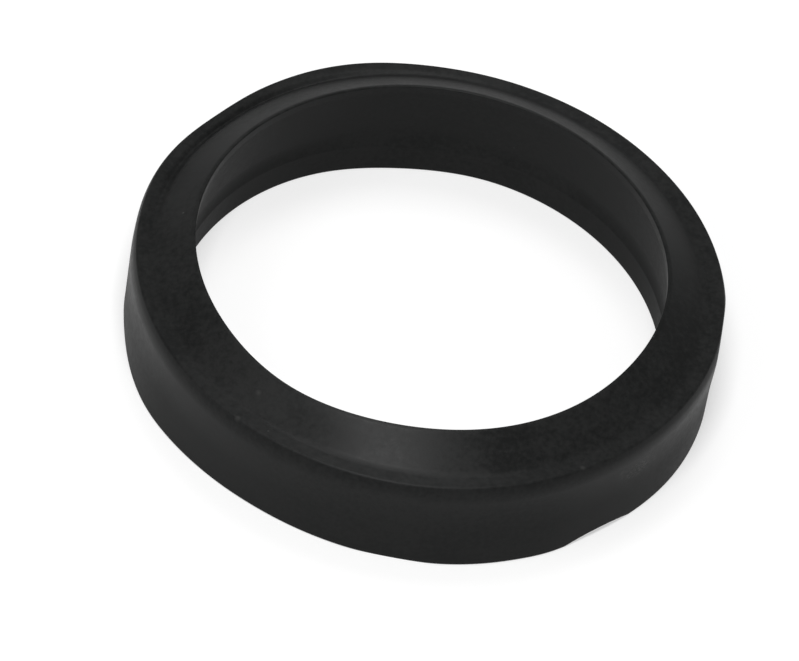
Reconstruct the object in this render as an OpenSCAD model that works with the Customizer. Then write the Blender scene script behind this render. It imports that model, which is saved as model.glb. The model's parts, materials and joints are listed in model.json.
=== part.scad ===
// Compression gasket for a pipe joint: one ring moulded in solid black rubber.
// A conical sealing lip stands on top, with a flat ledge behind it. The outer wall is straight, curves in
// a little below the ledge and stands on a flat foot. Inside, the lip's bore widens downwards to a shallow
// cove, which ends at the edge of a straight heel.
// Millimetres, +Z up along the ring's axis. The origin is the centre of the face that it rests on.

/* [Ring] */
// Bore of the sealing lip, which grips the pipe
lip_d = 119.2; // [60:0.2:400]
// Radial width of the section, from the lip's bore to the outer wall
section_w = 15.4; // [14:0.1:24]
// Height of the flat ledge behind the lip
ledge_h = 25.7; // [18:0.1:60]
// Rounding of the foot's two edges
foot_r = 0.5; // [0.2:0.1:2]

/* [Shoulder] */
// Height over which the outer wall curves in below the ledge
shoulder_h = 4.8; // [2:0.1:7]
// Radius of that curve
shoulder_r = 11; // [8:0.1:30]
// Rounding of the edge between the shoulder and the ledge
rim_r = 0.8; // [0.3:0.1:1.5]

/* [Sealing lip] */
// Height of the lip's top above the ledge
lip_rise = 5.9; // [3:0.1:7]
// Rounding of the lip's edge
lip_r = 0.3; // [0.2:0.1:0.9]
// Radius of the crown that leads from the lip's edge to its sloping back
crown_r = 3; // [1:0.5:8]
// Slope of the crown at the lip's edge, in degrees from level
crown_slope = 12; // [5:1:25]
// Height of the straight land inside the lip, below its rounding
land_h = 2; // [1:0.1:8]
// Slope of the lip's back, in degrees from level
back_slope = 32.5; // [30:0.5:50]
// Rounding in the corner where the lip's back meets the ledge
corner_r = 3.5; // [0.5:0.1:7]

/* [Bore and heel] */
// Slope of the bore below the lip's land, in degrees from the axis
bore_slope = 10.5; // [5:0.5:14]
// Radius of the shallow cove between the bore and the heel
cove_r = 11; // [6:0.5:20]
// Slope of the cove at the heel's edge, in degrees from the axis
cove_slope = 17; // [6:1:25]
// Height of the straight heel, which is clear of the pipe
heel_h = 7.6; // [4:0.1:12]

/* [Trimmed flat] */
// Bearing of the flat on the foot's outer edge, in degrees from +X
trim_bearing = -45; // [-180:1:180]
// Depth of the flat, measured square to it from the corner of the wall and the resting face
trim_depth = 1.1; // [0.5:0.1:2]

/* [Hidden] */
$fn = 180;
rubber_black = "#2a2b2a";

// Straight steps that each rounding is drawn with on the section
arc_steps = 8;

// Radii of the lip's bore and the outer wall
bore_r = lip_d / 2;
wall_r = bore_r + section_w;

// Height of the whole ring, from the resting face to the top of the lip
height = ledge_h + lip_rise;

// Direction on the section, at an angle from outwards
function dir(angle) = [cos(angle), sin(angle)];

// Centre of the rounding at the lip's edge, and the lower end of the land below it
lip_c = [bore_r + lip_r, height - lip_r];
land_end = [bore_r, lip_c.y - land_h];

// The bore slopes out from the land to the top of the cove, and the cove ends on the heel's edge at heel_h
cove_z = heel_h + cove_r * sin(cove_slope);
cove_top_z = cove_z + cove_r * sin(bore_slope);
cove_top_x = bore_r + (land_end.y - cove_top_z) * tan(bore_slope);
cove_c = [cove_top_x - cove_r * cos(bore_slope), cove_z];
heel_r = cove_c.x + cove_r * cos(cove_slope);

// Centres of the roundings at the foot's two edges
heel_foot_c = [heel_r + foot_r, foot_r];
wall_foot_c = [wall_r - foot_r, foot_r];

// The shoulder's curve leaves the wall at the level of its centre. The rim's rounding lies inside that
// curve and touches it where both point rim_angle upwards.
shoulder_c = [wall_r - shoulder_r, ledge_h - shoulder_h];
rim_angle = asin((shoulder_h - rim_r) / (shoulder_r - rim_r));
rim_c = shoulder_c + (shoulder_r - rim_r) * dir(rim_angle);

// The crown holds the lip's rounding inside it, touches it where both face lip_angle upwards, and runs on
// to the lip's back, which faces back_angle upwards
lip_angle = 90 - crown_slope;
back_angle = 90 - back_slope;
crown_c = lip_c - (crown_r - lip_r) * dir(lip_angle);
back_top = crown_c + crown_r * dir(back_angle);

// Centre of the rounding that touches the lip's back and the ledge
corner_z = ledge_h + corner_r;
corner_x = back_top.x + (corner_r - (corner_z - back_top.y) * sin(back_angle)) / cos(back_angle);
corner_c = [corner_x, corner_z];

// The flat leans halfway between the wall and the resting face
trim_angle = 45;
// Block that trims the flat, larger than the stretch of edge that it meets
trim_block = [4 * trim_depth, wall_r, 6 * trim_depth];

// Points along an arc on the section, between two angles from the outward direction
function arc(centre, radius, from, to) = [
    for (step = [0 : arc_steps])
        let (angle = from + (to - from) * step / arc_steps)
            centre + radius * dir(angle)
];

// Section of the ring, followed from the heel's foot outwards and back down the bore
module section() {
    polygon(concat(
        arc(heel_foot_c, foot_r, 180, 270),
        arc(wall_foot_c, foot_r, 270, 360),
        arc(shoulder_c, shoulder_r, 0, rim_angle),
        arc(rim_c, rim_r, rim_angle, 90),
        arc(corner_c, corner_r, 270, 180 + back_angle),
        arc(crown_c, crown_r, back_angle, lip_angle),
        arc(lip_c, lip_r, lip_angle, 180),
        [land_end],
        arc(cove_c, cove_r, bore_slope, -cove_slope)
    ));
}

// Block whose inner face is the trimmed flat, laid along the foot's outer edge at the flat's bearing
module trim_cutter() {
    rotate([0, 0, trim_bearing])
        translate([wall_r, 0, 0])
            rotate([0, trim_angle, 0])
                translate([trim_block.x / 2 - trim_depth, 0, 0])
                    cube(trim_block, center = true);
}

module gasket_ring() {
    color(rubber_black)
        difference() {
            rotate_extrude() section();
            trim_cutter();
        }
}

gasket_ring();
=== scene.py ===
"""Compression gasket for a pipe joint: one ring moulded in solid black rubber, on a pale studio floor.

The ring is turned from its section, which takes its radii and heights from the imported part's mounts and box.
Small unevenness of the moulding is worked into the mesh, and grain, bloom, scuffs and dust into the rubber.
"""
import json
import math

import bmesh
import bpy
from mathutils import Matrix, Vector, noise


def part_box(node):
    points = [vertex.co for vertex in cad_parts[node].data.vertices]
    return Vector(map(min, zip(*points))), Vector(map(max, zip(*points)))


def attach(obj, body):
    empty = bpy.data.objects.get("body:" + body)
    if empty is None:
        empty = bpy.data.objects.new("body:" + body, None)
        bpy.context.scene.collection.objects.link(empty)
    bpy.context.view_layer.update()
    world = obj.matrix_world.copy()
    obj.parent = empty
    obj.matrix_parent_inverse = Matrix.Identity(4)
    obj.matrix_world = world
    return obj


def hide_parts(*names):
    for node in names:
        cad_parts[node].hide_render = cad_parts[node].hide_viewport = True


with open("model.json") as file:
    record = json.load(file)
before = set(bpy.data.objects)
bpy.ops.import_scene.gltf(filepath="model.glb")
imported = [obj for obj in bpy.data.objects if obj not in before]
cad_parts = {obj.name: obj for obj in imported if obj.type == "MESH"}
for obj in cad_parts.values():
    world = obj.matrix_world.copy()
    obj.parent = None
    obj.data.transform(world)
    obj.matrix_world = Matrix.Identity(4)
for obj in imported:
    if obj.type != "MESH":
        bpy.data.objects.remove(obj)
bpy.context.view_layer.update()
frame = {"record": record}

bl_info = {
    "name": "Compression gasket",
    "version": (1, 0, 0),
    "blender": (4, 5, 0),
    "location": "View3D > Sidebar > Gasket",
    "description": "Builds a moulded rubber pipe-joint gasket and the studio that it stands in",
    "category": "Object",
}

MM = 0.001
NODE = "gasket_ring"

# Radii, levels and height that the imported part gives
MOUNTS = {mount["name"]: mount for mount in frame["record"]["mounts"]}
LIP = MOUNTS["pipe_lip"]["dims"]
LAND_MIDDLE = MOUNTS["pipe_lip"]["pos_m"][2]
WALL = MOUNTS["outer_seat"]["dims"]
WALL_MIDDLE = MOUNTS["outer_seat"]["pos_m"][2]
LEDGE_HEIGHT = MOUNTS["gland_ledge"]["pos_m"][2]
RING_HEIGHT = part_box(NODE)[1].z

# Places where the soft ring is out of round: bearing from +X and half width in degrees, then the push
# outwards in millimetres
UNEVEN_PLACES = {
    "lip": ((-117, 20, 1.3), (-27, 22, -0.7)),
    "rim": ((8, 38, 0.95), (115, 15, 1.0), (145, 9, -0.65), (165, 10, 0.4)),
    "foot": (
        (-168, 9, -0.4), (-148, 9, 0.35), (-118, 20, -1.0), (-70, 20, 1.2), (-57, 6, 0.4), (-25, 18, 0.55)),
    "heel": ((102, 17, -1.1),),
}

# How far up the bore the push of the heel reaches, in heights of the heel
HEEL_REACH = 2

# How softly the pushed skin bends where it would leave the solid's box
BOX_EASE = 0.2 * MM

# Distance from the foot's corner to the section's points beyond the trimmed flat, in depths of the flat
TRIM_REACH = 2

# Noises of the rubber, in patches per metre. Flow marks are long round the ring and close across its section.
CLOUD_SCALE = 42.0
FLOW_ROUND = 24.0
FLOW_ACROSS = 700.0
DUST_SCALE = 190.0
SCRATCH_SCALE = 1100.0

# Shares of clouds, mottling and flow marks in the patches of the skin, and of grain, mottling and flow
# marks in its relief
PATCH_SHARES = (0.4, 0.5, 0.1)
RELIEF_SHARES = (0.6, 0.3, 0.1)

# Strength of the relief, and its depth in depths of the grain
BUMP_STRENGTH = 0.5
RELIEF_DEPTH = 3

# Range of a noise over which bloom, dullness and scratches grow from none to all
BLOOM_RANGE = (0.42, 0.58)
DULL_RANGE = (0.40, 0.60)
SCRATCH_RANGE = (0.46, 0.72)

# Grains of dust: where each fades out in its cell, which cells hold one, and how pale it is
DUST_FADE = (0.03, 0.07)
DUST_CELLS = (0.93, 0.95)
DUST_STRENGTH = 0.6

# Share of a pale spot's half width at which it starts to fade
SPOT_CORE = 0.3

# How many times wider than high the scuffed patch is
SCUFF_SQUAT = 2.2

# Single pale marks on the skin: bearing from +X in degrees, then radius, level and half width in millimetres
MARKS = (
    (-123, 65.6, 28.2, 1.0),
    (-122.5, 73.8, 25.4, 1.0),
    (-51.5, 73.4, 25.7, 0.9),
    (-42, 75.1, 18.8, 1.1),
)

# How far outside the lip's radius its land and inner edge reach, and the share of the bore's dullness that
# they have
LAND_REACH = 0.25 * MM
LAND_SHARE = 0.4

# Distance from the corner of wall and ledge, inwards and downwards together, at which the dullness of the
# rubbed rim starts and at which it is full
RIM_START = 2.4 * MM
RIM_FULL = 1.8 * MM

# Turn that draws the reflections across the ring instead of round it
QUARTER_TURN = 0.25

# Width of the camera's sensor in millimetres, and the far end of its view in metres
SENSOR_WIDTH = 36.0
VIEW_END = 20.0


def length_property(label, description, default):
    """A size in metres."""
    return bpy.props.FloatProperty(
        name=label, description=description, default=default, unit="LENGTH", precision=5)


def angle_property(label, description, degrees):
    """An angle, kept in radians and given here in degrees."""
    return bpy.props.FloatProperty(
        name=label, description=description, default=math.radians(degrees), subtype="ANGLE")


def power_property(label, description, default):
    """The power of a lamp."""
    return bpy.props.FloatProperty(
        name=label, description=description, default=default, min=0.0, unit="POWER")


def share_property(label, description, default):
    """A plain number between 0 and 1."""
    return bpy.props.FloatProperty(
        name=label, description=description, default=default, min=0.0, max=1.0, subtype="FACTOR")


def colour_property(label, description, default):
    """A linear colour."""
    return bpy.props.FloatVectorProperty(
        name=label, description=description, default=default, size=3, min=0.0, max=1.0, subtype="COLOR")


class GasketSection(bpy.types.PropertyGroup):
    """Sizes of the ring's section"""
    lip_radius: length_property("Lip radius", "Bore of the sealing lip", LIP["r_mm"] * MM)
    land_foot: length_property(
        "Land foot", "Level at which the lip's straight land starts", LAND_MIDDLE - LIP["length_mm"] * MM / 2)
    land_top: length_property(
        "Land top", "Level at which the lip's edge rounds over", LAND_MIDDLE + LIP["length_mm"] * MM / 2)
    wall_radius: length_property("Wall radius", "Outside of the straight wall", WALL["r_mm"] * MM)
    wall_foot: length_property(
        "Wall foot", "Level at which the straight wall starts", WALL_MIDDLE - WALL["length_mm"] * MM / 2)
    wall_top: length_property(
        "Wall top", "Level at which the wall starts to curve in", WALL_MIDDLE + WALL["length_mm"] * MM / 2)
    ledge_height: length_property("Ledge height", "Level of the flat ledge behind the lip", LEDGE_HEIGHT)
    height: length_property("Height", "Level of the lip's top", RING_HEIGHT)
    shoulder_radius: length_property("Shoulder radius", "Curve of the wall below the ledge", 11.0 * MM)
    rim_round: length_property("Rim rounding", "Edge between the shoulder and the ledge", 0.8 * MM)
    corner_round: length_property("Corner rounding", "Inside corner of the lip's back and ledge", 3.5 * MM)
    back_slope: angle_property("Back slope", "Slope of the lip's back, from level", 32.5)
    crown_radius: length_property("Crown radius", "Crown between the lip's edge and its back", 3.0 * MM)
    crown_slope: angle_property("Crown slope", "Slope of the crown at the lip's edge, from level", 12.0)
    bore_slope: angle_property("Bore slope", "Slope of the bore below the land, from the axis", 10.5)
    cove_radius: length_property("Cove radius", "Shallow cove between the bore and the heel", 11.0 * MM)
    cove_slope: angle_property("Cove slope", "Slope of the cove at the heel's edge, from the axis", 17.0)
    heel_height: length_property("Heel height", "Level of the heel's edge", 7.6 * MM)
    trim_bearing: angle_property("Trim bearing", "Where the foot's outer edge is trimmed, from +X", -45.0)
    trim_depth: length_property("Trim depth", "Depth of that flat, square to it", 0.9 * MM)
    trim_hollow: bpy.props.FloatProperty(
        name="Trim hollow", description="1 is a plain flat, and more hollows it and makes it shorter",
        default=2.3, min=1.0)


class GasketMoulding(bpy.types.PropertyGroup):
    """Fineness of the mesh and unevenness of the moulding"""
    turns: bpy.props.IntProperty(
        name="Columns", description="Columns of faces round the ring", default=600, min=90, max=900)
    step: length_property("Step", "Longest step along a long straight stretch of the section", 1.5 * MM)
    fine_step: length_property("Fine step", "Longest step along a short stretch, such as the ledge", 0.4 * MM)
    short_stretch: length_property("Short stretch", "Length below which a stretch is a short one", 3.5 * MM)
    edge_step: length_property("Edge step", "First and last step of a straight stretch", 0.16 * MM)
    arc_steps: bpy.props.IntProperty(
        name="Arc steps", description="Steps along each rounding", default=7, min=3, max=12)
    swell: length_property("Swell", "Depth of the broad unevenness of the skin", 0.05 * MM)
    swell_size: length_property("Swell size", "Width of one patch of that unevenness", 14 * MM)
    unevenness: share_property("Unevenness", "How much of each push the out-of-round places have", 1.0)
    crease_depth: length_property("Crease depth", "Depth of the crease below the lip's back", 1.1 * MM)
    crease_width: length_property("Crease width", "Half width of the crease, across the section", 0.9 * MM)
    crease_radius: length_property("Crease radius", "Radius that the crease follows", 70.2 * MM)
    crease_bearing: angle_property("Crease bearing", "Middle of the creased stretch, from +X", 142.0)
    crease_reach: angle_property("Crease reach", "Half length of the creased stretch", 36.0)


class RubberFinish(bpy.types.PropertyGroup):
    """Colours and gloss of the rubber"""
    black: colour_property("Black", "Body of the rubber", (0.0070, 0.0075, 0.0074))
    bloom: colour_property("Bloom", "Greyer patches where the skin has bloomed", (0.0144, 0.0148, 0.0146))
    dust: colour_property("Dust", "Grains of dust and single marks", (0.06, 0.06, 0.058))
    gloss: share_property("Gloss", "Strength of the reflections", 0.14)
    roughness_low: share_property("Least roughness", "Roughness of the smoothest skin", 0.37)
    roughness_high: share_property("Most roughness", "Roughness of the dullest skin", 0.47)
    bore_dullness: share_property("Bore dullness", "Roughness added in the bore", 0.19)
    bore_depth: length_property("Bore depth", "How far outside the lip's radius the bore is dull", 4.0 * MM)
    foot_dullness: share_property("Foot dullness", "Roughness added at the handled foot of the wall", 0.13)
    rim_dullness: share_property("Rim dullness", "Roughness added on the rubbed rim", 0.08)
    scuff: colour_property("Scuff", "Pale scratches of the scuffed patch", (0.062, 0.062, 0.060))
    scuff_bearing: angle_property("Scuff bearing", "Middle of the scuffed patch on the wall, from +X", -37.0)
    scuff_height: length_property("Scuff height", "Level of the scuffed patch", 17.0 * MM)
    scuff_width: length_property("Scuff width", "Half width of the scuffed patch", 8.0 * MM)
    mark_strength: share_property("Mark strength", "How pale the single marks are", 0.3)
    draw: share_property("Draw", "How far the reflections spread across the flow marks", 0.6)
    mottle_size: length_property("Mottle size", "Width of one mottled patch of the skin", 1.4 * MM)
    grain_size: length_property("Grain size", "Width of the skin's grain", 0.5 * MM)
    grain_depth: length_property("Grain depth", "Depth of the grain", 0.012 * MM)


class StudioStage(bpy.types.PropertyGroup):
    """Floor, lamps and camera"""
    floor_size: length_property("Floor size", "Side of the square floor", 5.0)
    floor: colour_property("Floor", "Pale floor", (0.55, 0.55, 0.55))
    backdrop: share_property("Backdrop", "Light that makes the floor a white sweep as it is seen", 0.50)
    world: colour_property("World", "Dim light of the room", (0.325, 0.325, 0.325))
    key_power: power_property("Key power", "Softbox high over the ring, a little left of the camera", 4.55)
    key_bearing: angle_property("Key bearing", "Bearing of that softbox, from -Y towards +X", -7.0)
    key_elevation: angle_property("Key elevation", "Height of that softbox above the horizon", 70.0)
    key_width: length_property("Key width", "Width of that softbox", 0.30)
    key_depth: length_property("Key depth", "Depth of that softbox", 0.22)
    back_power: power_property("Back power", "Softbox above and behind the ring", 1.65)
    back_bearing: angle_property("Back bearing", "Bearing of that softbox, from -Y towards +X", -172.0)
    back_elevation: angle_property("Back elevation", "Height of that softbox above the horizon", 70.0)
    left_power: power_property("Left power", "Softbox to the left of the camera", 0.95)
    left_bearing: angle_property("Left bearing", "Bearing of that softbox, from -Y towards +X", -60.0)
    left_elevation: angle_property("Left elevation", "Height of that softbox above the horizon", 45.0)
    fill_side: length_property("Fill side", "Side of the square softboxes behind and to the left", 0.32)
    lamp_distance: length_property("Lamp distance", "From the ring to each lamp", 0.9)
    camera_distance: length_property("Camera distance", "From the ring's middle to the camera", 1.8)
    camera_elevation: angle_property("Camera elevation", "Height of the camera above the horizon", 45.11)
    camera_roll: angle_property("Camera roll", "Turn of the picture, clockwise", 10.525)
    camera_lens: bpy.props.FloatProperty(
        name="Camera lens", description="Focal length for a sensor 36 mm wide", default=323.3, unit="CAMERA")
    aim_left: length_property("Aim left", "How far the camera aims to the left of the ring", 7.6 * MM)
    aim_below: length_property("Aim below", "How far the camera aims below the ring", 15.1 * MM)


def facing(angle):
    """Unit vector on the section, at an angle from outwards."""
    return Vector((math.cos(angle), math.sin(angle)))


def arc(centre, radius, start, end, steps):
    """Points along an arc of the section, between two angles from outwards."""
    return [centre + radius * facing(start + (end - start) * k / steps) for k in range(steps + 1)]


def stretch(start, end, step, edge):
    """Points inside a straight stretch of the section, with a short step at each end to hold its edges."""
    span = (end - start).length
    edge = min(edge, span / 4)
    steps = max(1, math.ceil((span - 2 * edge) / step))
    places = [edge + (span - 2 * edge) * k / steps for k in range(steps + 1)]
    return [start.lerp(end, place / span) for place in places]


def section_outline(section, moulding):
    """The closed section as (radius, level) points, from the heel's foot outwards and back down the bore."""
    up, down = math.pi / 2, -math.pi / 2
    foot = section.wall_foot

    lip_round = section.height - section.land_top
    lip = Vector((section.lip_radius + lip_round, section.land_top))
    lip_angle, back_angle = up - section.crown_slope, up - section.back_slope
    crown = lip - (section.crown_radius - lip_round) * facing(lip_angle)
    back = facing(back_angle)
    back_top = crown + section.crown_radius * back
    corner = Vector((0, section.ledge_height + section.corner_round))
    corner.x = back_top.x + (section.corner_round - (corner.y - back_top.y) * back.y) / back.x

    shoulder = Vector((section.wall_radius - section.shoulder_radius, section.wall_top))
    rim_reach = section.shoulder_radius - section.rim_round
    rim_angle = math.asin((section.ledge_height - section.rim_round - section.wall_top) / rim_reach)
    rim = shoulder + rim_reach * facing(rim_angle)

    cove = Vector((0, section.heel_height + section.cove_radius * math.sin(section.cove_slope)))
    cove_top = cove.y + section.cove_radius * math.sin(section.bore_slope)
    cove.x = section.lip_radius + (section.land_foot - cove_top) * math.tan(section.bore_slope)
    cove.x -= section.cove_radius * math.cos(section.bore_slope)
    heel_radius = cove.x + section.cove_radius * math.cos(section.cove_slope)

    edge = Vector((section.wall_radius, 0))
    trim = TRIM_REACH * section.trim_depth
    steps = moulding.arc_steps
    stretches = [
        arc(Vector((heel_radius + foot, foot)), foot, math.pi, math.pi + up, steps),
        [edge - Vector((trim, 0))],
        arc(Vector((section.wall_radius - foot, foot)), foot, down, 0, steps),
        [edge + Vector((0, trim))],
        arc(shoulder, section.shoulder_radius, 0, rim_angle, steps),
        arc(rim, section.rim_round, rim_angle, up, steps),
        arc(corner, section.corner_round, math.pi + up, math.pi + back_angle, steps),
        arc(crown, section.crown_radius, back_angle, lip_angle, steps),
        arc(lip, lip_round, lip_angle, math.pi, steps),
        [Vector((section.lip_radius, section.land_foot))],
        arc(cove, section.cove_radius, section.bore_slope, -section.cove_slope, 2 * steps),
    ]
    outline = []
    for here, following in zip(stretches, stretches[1:] + stretches[:1]):
        start, end = here[-1], following[0]
        outline += here
        if (end - start).length < moulding.edge_step:
            outline.pop()
            continue
        short = (end - start).length < moulding.short_stretch
        outline += stretch(start, end, moulding.fine_step if short else moulding.step, moulding.edge_step)
    return outline


def smooth_step(low, high, value):
    """0 below low, 1 above high, and an even curve between them."""
    share = min(1.0, max(0.0, (value - low) / (high - low)))
    return share * share * (3 - 2 * share)


def hump(angle, middle, width):
    """1 at a bearing, and falling away evenly on both sides of it."""
    return math.exp(-(math.remainder(angle - middle, 2 * math.pi) / width) ** 2)


def push_at(angle, zone):
    """How far a zone of the ring is pushed outwards at a bearing."""
    return sum(
        push * MM * hump(angle, math.radians(bearing), math.radians(width))
        for bearing, width, push in UNEVEN_PLACES[zone])


def moulded_point(radius, level, angle, section, moulding):
    """A point of the skin, creased, pushed out of round inside the solid's box, and trimmed at the foot."""
    crease = moulding.crease_depth * hump(angle, moulding.crease_bearing, moulding.crease_reach)
    gap = math.hypot(radius - moulding.crease_radius, level - section.ledge_height)
    level -= crease * math.exp(-(gap / moulding.crease_width) ** 2)
    outer = smooth_step((section.lip_radius + section.wall_radius) / 2, section.wall_radius, radius)
    shares = {
        "lip": smooth_step(section.ledge_height, section.height, level),
        "rim": smooth_step(section.heel_height, section.ledge_height, level) * outer,
        "foot": (1 - smooth_step(0, section.wall_top, level)) * outer,
        "heel": (1 - smooth_step(0, HEEL_REACH * section.heel_height, level)) * (1 - outer),
    }
    radius += moulding.unevenness * sum(share * push_at(angle, zone) for zone, share in shares.items())
    limit = section.wall_radius / max(abs(math.cos(angle)), abs(math.sin(angle)))
    radius = limit - BOX_EASE * math.log1p(math.exp((limit - radius) / BOX_EASE))
    point = Vector((radius * math.cos(angle), radius * math.sin(angle), level))
    along = radius * (1 - section.trim_hollow * (1 - math.cos(angle - section.trim_bearing)))
    proud = (along - section.wall_radius - level) / math.sqrt(2) + section.trim_depth
    if proud > 0:
        inward = Vector((-math.cos(section.trim_bearing), -math.sin(section.trim_bearing), 1)) / math.sqrt(2)
        point += proud * inward
    return point


def ring_mesh(section, moulding):
    """The ring as one closed mesh, turned from its section, with a map of round and along."""
    outline = section_outline(section, moulding)
    rows, turns = len(outline), moulding.turns
    lengths = [0.0]
    for here, following in zip(outline, outline[1:] + outline[:1]):
        lengths.append(lengths[-1] + (following - here).length)
    work = bmesh.new()
    columns = []
    for turn in range(turns):
        angle = 2 * math.pi * turn / turns
        columns.append([
            work.verts.new(moulded_point(point.x, point.y, angle, section, moulding)) for point in outline])
    layer = work.loops.layers.uv.new("round_and_along")
    for turn in range(turns):
        left, right = columns[turn], columns[(turn + 1) % turns]
        for row in range(rows):
            above = (row + 1) % rows
            face = work.faces.new((left[row], right[row], right[above], left[above]))
            face.smooth = True
            places = ((turn, row), (turn + 1, row), (turn + 1, row + 1), (turn, row + 1))
            for loop, (column, place) in zip(face.loops, places):
                loop[layer].uv = (column / turns, lengths[place] / lengths[-1])
    work.normal_update()
    for vert in work.verts:
        ripple = 0.5 + 0.5 * noise.noise(vert.co / moulding.swell_size)
        vert.co -= vert.normal * moulding.swell * ripple
    mesh = bpy.data.meshes.new("moulded_ring")
    work.to_mesh(mesh)
    work.free()
    return mesh


class NodeSheet:
    """Adds and links the shader nodes of one material."""

    def __init__(self, name):
        self.material = bpy.data.materials.new(name)
        self.material.use_nodes = True
        self.tree = self.material.node_tree
        self.tree.nodes.clear()

    def add(self, kind, inputs=None, **settings):
        """A node of that kind. inputs holds a socket to link or a value to set, by socket name or number."""
        node = self.tree.nodes.new(kind)
        for name, value in settings.items():
            setattr(node, name, value)
        for name, value in (inputs or {}).items():
            if isinstance(value, bpy.types.NodeSocket):
                self.tree.links.new(value, node.inputs[name])
            else:
                node.inputs[name].default_value = value
        return node

    def math(self, operation, first, second):
        """The result of one sum on two numbers or sockets."""
        return self.add("ShaderNodeMath", {0: first, 1: second}, operation=operation).outputs[0]

    def spread(self, value, low, high, to_low, to_high):
        """A value moved evenly from one range to another, and held inside it."""
        ends = {"From Min": low, "From Max": high, "To Min": to_low, "To Max": to_high}
        return self.add("ShaderNodeMapRange", {"Value": value, **ends}).outputs[0]

    def noise(self, vector, scale, detail, roughness):
        """Soft noise about 0.5."""
        return self.add("ShaderNodeTexNoise", {
            "Vector": vector, "Scale": scale, "Detail": detail, "Roughness": roughness}).outputs["Fac"]

    def mixture(self, *parts):
        """The sum of several values, each times its share."""
        total = 0.0
        for value, share in parts:
            total = self.math("ADD", self.math("MULTIPLY", value, share), total)
        return total

    def spot(self, vector, point, width):
        """1 at a point, and fading to 0 at a half width from it."""
        gap = self.add("ShaderNodeVectorMath", {0: vector, 1: point}, operation="DISTANCE").outputs["Value"]
        return self.spread(gap, SPOT_CORE * width, width, 1.0, 0.0)

    def blend(self, share, first, second):
        """A colour between two others."""
        node = self.add("ShaderNodeMix", {"Factor": share, "A": first, "B": second}, data_type="RGBA")
        return node.outputs["Result"]


def opaque(colour):
    """A colour with full alpha."""
    return (*colour, 1.0)


def rubber_colour(sheet, place, patches, finish, section):
    """Black with patches of bloom, grains of dust, a scuffed patch on the wall and single pale marks."""
    bloomed = sheet.spread(patches, *BLOOM_RANGE, 0.0, 1.0)
    colour = sheet.blend(bloomed, opaque(finish.black), opaque(finish.bloom))

    cells = sheet.add("ShaderNodeTexVoronoi", {"Vector": place, "Scale": DUST_SCALE, "Randomness": 1.0})
    chance = sheet.add("ShaderNodeSeparateColor", {0: cells.outputs["Color"]}).outputs[0]
    grains = sheet.spread(cells.outputs["Distance"], *DUST_FADE, 1.0, 0.0)
    dust = sheet.math("MULTIPLY", grains, sheet.spread(chance, *DUST_CELLS, 0.0, DUST_STRENGTH))
    colour = sheet.blend(dust, colour, opaque(finish.dust))

    wall = section.wall_radius * facing(finish.scuff_bearing)
    squat = Vector((1, 1, SCUFF_SQUAT))
    centre = Vector((wall.x, wall.y, squat.z * finish.scuff_height))
    pressed = sheet.add("ShaderNodeVectorMath", {0: place, 1: squat}, operation="MULTIPLY").outputs[0]
    patch = sheet.spot(pressed, centre, finish.scuff_width)
    streaks = sheet.noise(pressed, SCRATCH_SCALE, detail=4.0, roughness=0.7)
    scratches = sheet.math("MULTIPLY", patch, sheet.spread(streaks, *SCRATCH_RANGE, 0.0, 1.0))
    colour = sheet.blend(scratches, colour, opaque(finish.scuff))

    for bearing, radius, level, width in MARKS:
        middle = radius * facing(math.radians(bearing))
        mark = sheet.spot(place, MM * Vector((middle.x, middle.y, level)), MM * width)
        pale = sheet.math("MULTIPLY", mark, finish.mark_strength)
        colour = sheet.blend(pale, colour, opaque(finish.dust))
    return colour


def rubber_roughness(sheet, radius, level, patches, finish, section):
    """Patchy, and duller in the bore, on the lip's land, at the foot of the wall and on the rim."""
    bore_end = section.lip_radius + finish.bore_depth
    bore = sheet.math(
        "MULTIPLY",
        sheet.math("LESS_THAN", radius, bore_end),
        sheet.math("LESS_THAN", level, section.land_foot))
    land = sheet.math("LESS_THAN", radius, section.lip_radius + LAND_REACH)
    inside = sheet.math("MAXIMUM", bore, sheet.math("MULTIPLY", land, LAND_SHARE))
    foot = sheet.math(
        "MULTIPLY",
        sheet.math("GREATER_THAN", radius, bore_end),
        sheet.spread(level, section.wall_top / 2, section.wall_top, 1.0, 0.0))
    corner = section.wall_radius + section.ledge_height
    rim = sheet.spread(sheet.math("ADD", radius, level), corner - RIM_START, corner - RIM_FULL, 0.0, 1.0)

    roughness = sheet.spread(patches, *DULL_RANGE, finish.roughness_low, finish.roughness_high)
    added = ((inside, finish.bore_dullness), (foot, finish.foot_dullness), (rim, finish.rim_dullness))
    for worn, dullness in added:
        roughness = sheet.math("ADD", roughness, sheet.math("MULTIPLY", worn, dullness))
    return roughness


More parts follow.
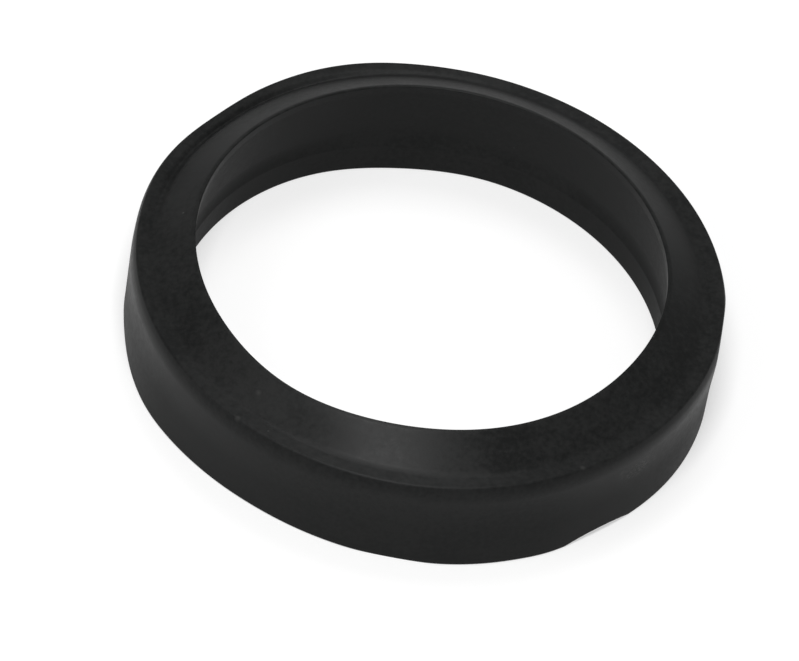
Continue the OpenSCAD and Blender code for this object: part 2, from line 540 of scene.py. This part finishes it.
def rubber_material(finish, section):
    """Moulded black rubber, patchy, mottled and finely grained, with reflections drawn across the ring."""
    sheet = NodeSheet("black_rubber")
    place = sheet.add("ShaderNodeTexCoord").outputs["Object"]
    x, y, level = sheet.add("ShaderNodeSeparateXYZ", {0: place}).outputs
    flat = sheet.add("ShaderNodeCombineXYZ", {0: x, 1: y}).outputs[0]
    radius = sheet.add("ShaderNodeVectorMath", {0: flat}, operation="LENGTH").outputs["Value"]
    drawn = sheet.add("ShaderNodeCombineXYZ", {
        0: sheet.math("MULTIPLY", x, FLOW_ROUND),
        1: sheet.math("MULTIPLY", y, FLOW_ROUND),
        2: sheet.math("MULTIPLY", sheet.math("SUBTRACT", radius, level), FLOW_ACROSS)}).outputs[0]

    clouds = sheet.noise(place, CLOUD_SCALE, detail=4.0, roughness=0.6)
    flow = sheet.noise(drawn, 1.0, detail=3.0, roughness=0.55)
    mottle = sheet.noise(place, 1.0 / finish.mottle_size, detail=4.0, roughness=0.65)
    grain = sheet.noise(place, 1.0 / finish.grain_size, detail=2.0, roughness=0.6)
    patches = sheet.mixture(*zip((clouds, mottle, flow), PATCH_SHARES))
    relief = sheet.mixture(*zip((grain, mottle, flow), RELIEF_SHARES))
    skin = sheet.add("ShaderNodeBump", {
        "Strength": BUMP_STRENGTH, "Distance": finish.grain_depth * RELIEF_DEPTH, "Height": relief})

    turning = sheet.add("ShaderNodeTangent", direction_type="RADIAL", axis="Z")
    shader = sheet.add("ShaderNodeBsdfPrincipled", {
        "Base Color": rubber_colour(sheet, place, patches, finish, section),
        "Roughness": rubber_roughness(sheet, radius, level, patches, finish, section),
        "Specular IOR Level": finish.gloss,
        "Anisotropic": finish.draw,
        "Anisotropic Rotation": QUARTER_TURN,
        "Tangent": turning.outputs[0],
        "Normal": skin.outputs[0]})
    sheet.add("ShaderNodeOutputMaterial", {"Surface": shader.outputs[0]})
    return sheet.material


class GASKET_OT_mould_ring(bpy.types.Operator):
    """Turn the rubber ring from its section and give it its finish"""
    bl_idname = "gasket.mould_ring"
    bl_label = "Mould the ring"

    def execute(self, context):
        scene = context.scene
        ring = bpy.data.objects.new("rubber_ring", ring_mesh(scene.gasket_section, scene.gasket_moulding))
        scene.collection.objects.link(ring)
        ring.data.materials.append(rubber_material(scene.gasket_finish, scene.gasket_section))
        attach(ring, "root")
        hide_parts(NODE)
        return {"FINISHED"}


def floor_material(stage):
    """Plain pale floor, which shows as a white sweep, also in reflections, and takes the ring's shadow."""
    sheet = NodeSheet("pale_floor")
    path = sheet.add("ShaderNodeLightPath").outputs
    mirrored = sheet.math("MAXIMUM", path["Is Glossy Ray"], path["Is Transmission Ray"])
    seen = sheet.math("MAXIMUM", path["Is Camera Ray"], mirrored)
    plain = sheet.add("ShaderNodeBsdfDiffuse", {"Color": opaque(stage.floor)})
    glow = sheet.add("ShaderNodeEmission", {"Strength": sheet.math("MULTIPLY", seen, stage.backdrop)})
    sweep = sheet.add("ShaderNodeAddShader", {0: plain.outputs[0], 1: glow.outputs[0]})
    sheet.add("ShaderNodeOutputMaterial", {"Surface": sweep.outputs[0]})
    return sheet.material


def bearing_direction(bearing, elevation):
    """Unit vector towards a bearing, from -Y towards +X, and an elevation."""
    level = math.cos(elevation)
    return Vector((level * math.sin(bearing), -level * math.cos(bearing), math.sin(elevation)))


def softbox(name, power, sides, direction, distance, target):
    """A soft rectangular lamp that faces the target."""
    lamp = bpy.data.lights.new(name, "AREA")
    lamp.shape = "RECTANGLE"
    lamp.energy = power
    lamp.size, lamp.size_y = sides
    holder = bpy.data.objects.new(name, lamp)
    holder.location = target + direction * distance
    holder.rotation_euler = (-direction).to_track_quat("-Z", "Y").to_euler()
    bpy.context.scene.collection.objects.link(holder)


def studio_camera(stage, target):
    """A camera at the photograph's angle, turned a little clockwise and aimed below and left of the ring."""
    back = bearing_direction(0.0, stage.camera_elevation)
    level_right = Vector((1, 0, 0))
    level_up = back.cross(level_right)
    right = math.cos(stage.camera_roll) * level_right + math.sin(stage.camera_roll) * level_up
    up = math.cos(stage.camera_roll) * level_up - math.sin(stage.camera_roll) * level_right
    lens = bpy.data.cameras.new("studio_camera")
    lens.lens = stage.camera_lens
    lens.sensor_width = SENSOR_WIDTH
    lens.clip_end = VIEW_END
    camera = bpy.data.objects.new("studio_camera", lens)
    eye = target + back * stage.camera_distance
    aim = target - right * stage.aim_left - up * stage.aim_below
    away = (eye - aim).normalized()
    side = up.cross(away).normalized()
    turn = Matrix((side, away.cross(side), away)).transposed().to_4x4()
    camera.matrix_world = Matrix.Translation(eye) @ turn
    bpy.context.scene.collection.objects.link(camera)
    bpy.context.scene.camera = camera


class GASKET_OT_set_stage(bpy.types.Operator):
    """Lay the floor, hang the lamps and place the camera"""
    bl_idname = "gasket.set_stage"
    bl_label = "Set the stage"

    def execute(self, context):
        stage = context.scene.gasket_stage
        target = Vector((0, 0, context.scene.gasket_section.ledge_height))
        half = stage.floor_size / 2
        mesh = bpy.data.meshes.new("studio_floor")
        corners = [(-half, -half, 0), (half, -half, 0), (half, half, 0), (-half, half, 0)]
        mesh.from_pydata(corners, [], [(0, 1, 2, 3)])
        floor = bpy.data.objects.new("studio_floor", mesh)
        floor.data.materials.append(floor_material(stage))
        context.scene.collection.objects.link(floor)

        key_sides = (stage.key_width, stage.key_depth)
        fill_sides = (stage.fill_side, stage.fill_side)
        lamps = (
            ("key_softbox", stage.key_power, key_sides, stage.key_bearing, stage.key_elevation),
            ("back_softbox", stage.back_power, fill_sides, stage.back_bearing, stage.back_elevation),
            ("left_softbox", stage.left_power, fill_sides, stage.left_bearing, stage.left_elevation),
        )
        for name, power, sides, bearing, elevation in lamps:
            direction = bearing_direction(bearing, elevation)
            softbox(name, power, sides, direction, stage.lamp_distance, target)

        world = bpy.data.worlds.new("dim_room")
        world.use_nodes = True
        world.node_tree.nodes["Background"].inputs["Color"].default_value = opaque(stage.world)
        context.scene.world = world
        studio_camera(stage, target)
        context.scene.view_settings.view_transform = "Standard"
        return {"FINISHED"}


class GASKET_PT_sidebar(bpy.types.Panel):
    """Sizes, finish and stage of the gasket"""
    bl_label = "Compression gasket"
    bl_idname = "GASKET_PT_sidebar"
    bl_space_type = "VIEW_3D"
    bl_region_type = "UI"
    bl_category = "Gasket"

    def draw(self, context):
        for group in GROUPS:
            box = self.layout.box()
            settings = getattr(context.scene, group)
            for name in settings.bl_rna.properties.keys():
                if name not in ("rna_type", "name"):
                    box.prop(settings, name)
        for operator in OPERATORS:
            self.layout.operator(operator.bl_idname)


GROUPS = {
    "gasket_section": GasketSection,
    "gasket_moulding": GasketMoulding,
    "gasket_finish": RubberFinish,
    "gasket_stage": StudioStage,
}
OPERATORS = (GASKET_OT_mould_ring, GASKET_OT_set_stage)
CLASSES = (*GROUPS.values(), *OPERATORS, GASKET_PT_sidebar)


def register():
    for cls in CLASSES:
        bpy.utils.register_class(cls)
    for name, group in GROUPS.items():
        setattr(bpy.types.Scene, name, bpy.props.PointerProperty(type=group))


def unregister():
    for name in GROUPS:
        delattr(bpy.types.Scene, name)
    for cls in reversed(CLASSES):
        bpy.utils.unregister_class(cls)


def main():
    register()
    bpy.ops.gasket.mould_ring()
    bpy.ops.gasket.set_stage()


if __name__ == "__main__":
    main()
